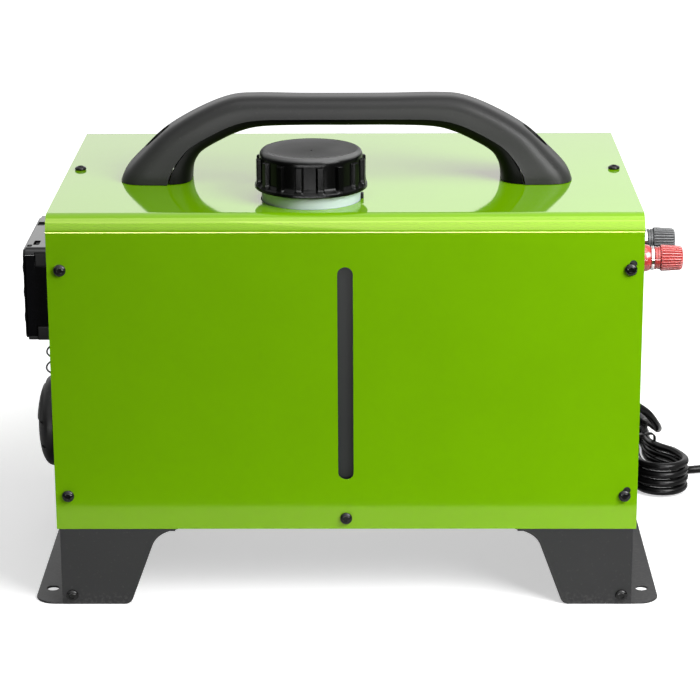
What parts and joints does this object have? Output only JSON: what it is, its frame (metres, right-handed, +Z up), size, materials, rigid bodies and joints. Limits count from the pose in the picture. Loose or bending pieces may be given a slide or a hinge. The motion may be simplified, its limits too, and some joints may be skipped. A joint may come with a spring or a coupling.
{
  "type": "portable diesel heater",
  "caption": "Portable diesel air heater in a green sheet steel case on bent feet, with a fuel tank, a carrying handle, a controller, a swivelling warm air vent and a coiled supply lead.",
  "frame": {"origin": "on the ground plane, under the middle of the case's width and depth", "axes": "+Z up; -Y is the long front with the sight slot; -X is the end with the controller and the warm air vent; +X is the end with the binding posts, the air intake and the supply lead"},
  "size_m": [0.606, 0.3519, 0.3382],
  "materials": {
    "case_green": "gloss yellow-green paint on sheet steel",
    "black_powder_coat": "satin black powder coat on sheet steel",
    "black_screw_steel": "blackened steel",
    "black_plastic": "satin black moulded plastic",
    "gloss_black_plastic": "gloss black moulded plastic",
    "natural_tank_plastic": "translucent white blow-moulded plastic",
    "black_rubber": "matt black rubber",
    "cast_aluminium": "as-cast aluminium",
    "bright_steel": "bright steel",
    "chrome_plate": "bright chrome plate",
    "board_housing": "matt dark plastic housing",
    "red_plastic": "gloss red moulded plastic",
    "grey_plastic": "gloss dark grey moulded plastic",
    "grey_wire": "satin grey wire insulation",
    "cord_sheath": "satin black soft cable sheath"
  },
  "bodies": {
    "chassis": {"cover": "case_green", "base_pan": "black_powder_coat", "left_end_panel": "black_powder_coat", "right_end_panel": "black_powder_coat", "front_screw_upper_left": "black_screw_steel", "front_screw_upper_right": "black_screw_steel", "front_screw_lower_left": "black_screw_steel", "front_screw_lower_right": "black_screw_steel", "front_screw_lower_middle": "black_screw_steel", "top_screw_left": "black_screw_steel", "top_screw_right": "black_screw_steel", "foot_screw_left": "black_screw_steel", "foot_screw_right": "black_screw_steel", "left_foot": "black_powder_coat", "right_foot": "black_powder_coat", "handle_upper_shell": "black_plastic", "handle_lower_shell": "black_plastic", "handle_bolt_left": "black_screw_steel", "handle_bolt_right": "black_screw_steel", "fuel_tank": "natural_tank_plastic", "burner_lower_casing": "black_plastic", "burner_upper_casing": "black_plastic", "heat_exchanger": "cast_aluminium", "burner_tube": "bright_steel", "fan_motor": "bright_steel", "control_unit": "board_housing", "exhaust_pipe": "bright_steel", "combustion_air_pipe": "bright_steel", "warm_air_duct": "black_rubber", "fuel_pump": "bright_steel", "pump_clamp": "black_rubber", "suction_line": "black_rubber", "delivery_line": "black_rubber", "vent_bezel": "black_plastic", "intake_grille": "black_plastic", "controller_bracket": "black_plastic", "controller_case": "gloss_black_plastic", "controller_face": "gloss_black_plastic", "sensor_lead": "grey_wire", "red_post": "red_plastic", "black_post": "grey_plastic", "cord_grommet": "black_rubber", "cord_drop": "cord_sheath", "cord_hank": "cord_sheath", "cord_tail": "cord_sheath", "cord_tie": "black_plastic", "cord_plug": "black_plastic"},
    "cap_gasket": {"cap_gasket": "black_rubber"},
    "fuel_cap": {"fuel_cap": "black_plastic"},
    "fan_rotor": {"warm_air_fan": "black_plastic", "combustion_fan": "black_plastic"},
    "vent_head": {"vent_head": "black_plastic"},
    "vent_flap": {"vent_flap": "black_plastic"},
    "button_up": {"button_up": "black_plastic"},
    "button_power": {"button_power": "black_plastic"},
    "button_down": {"button_down": "black_plastic"},
    "red_washer": {"red_washer": "chrome_plate"},
    "red_knob": {"red_knob": "red_plastic"},
    "black_washer": {"black_washer": "chrome_plate"},
    "black_knob": {"black_knob": "grey_plastic"}
  },
  "joints": [
    {"name": "cap_rise", "type": "slide", "parent": "chassis", "child": "cap_gasket", "axis": [0, 0, 1], "range_m": [0, 0.008]},
    {"name": "cap_turn", "type": "hinge", "parent": "cap_gasket", "child": "fuel_cap", "pos_m": [-0.0235, -0.083, 0.3057], "axis": [0, 0, 1], "range_deg": [0, 720]},
    {"name": "rotor_spin", "type": "hinge", "parent": "chassis", "child": "fan_rotor", "pos_m": [0.092, 0.016, 0.112], "axis": [1, 0, 0], "continuous": true},
    {"name": "vent_swivel", "type": "hinge", "parent": "chassis", "child": "vent_head", "pos_m": [-0.2, -0.006, 0.092], "axis": [1, 0, 0], "continuous": true},
    {"name": "flap_swing", "type": "hinge", "parent": "vent_head", "child": "vent_flap", "pos_m": [-0.215, -0.006, 0.1186], "axis": [0, 1, 0], "range_deg": [-3, 23]},
    {"name": "button_up_press", "type": "slide", "parent": "chassis", "child": "button_up", "axis": [1, 0, 0], "range_m": [0, 0.0008], "stiffness_N_per_m": 400, "springref_m": -0.0008},
    {"name": "button_power_press", "type": "slide", "parent": "chassis", "child": "button_power", "axis": [1, 0, 0], "range_m": [0, 0.0008], "stiffness_N_per_m": 400, "springref_m": -0.0008},
    {"name": "button_down_press", "type": "slide", "parent": "chassis", "child": "button_down", "axis": [1, 0, 0], "range_m": [0, 0.0008], "stiffness_N_per_m": 400, "springref_m": -0.0008},
    {"name": "red_knob_travel", "type": "slide", "parent": "chassis", "child": "red_washer", "axis": [1, 0, 0], "range_m": [0, 0.005]},
    {"name": "red_knob_turn", "type": "hinge", "parent": "red_washer", "child": "red_knob", "pos_m": [0.2058, -0.1195, 0.2448], "axis": [1, 0, 0], "range_deg": [0, 1800]},
    {"name": "black_knob_travel", "type": "slide", "parent": "chassis", "child": "black_washer", "axis": [1, 0, 0], "range_m": [0, 0.005]},
    {"name": "black_knob_turn", "type": "hinge", "parent": "black_washer", "child": "black_knob", "pos_m": [0.2058, -0.0718, 0.2448], "axis": [1, 0, 0], "range_deg": [0, 1800]}
  ],
  "couplings": [
    {"joint": "cap_rise", "follows": "cap_turn", "m_per_rad": 0.0006366},
    {"joint": "red_knob_travel", "follows": "red_knob_turn", "m_per_rad": 0.00015915},
    {"joint": "black_knob_travel", "follows": "black_knob_turn", "m_per_rad": 0.00015915}
  ]
}
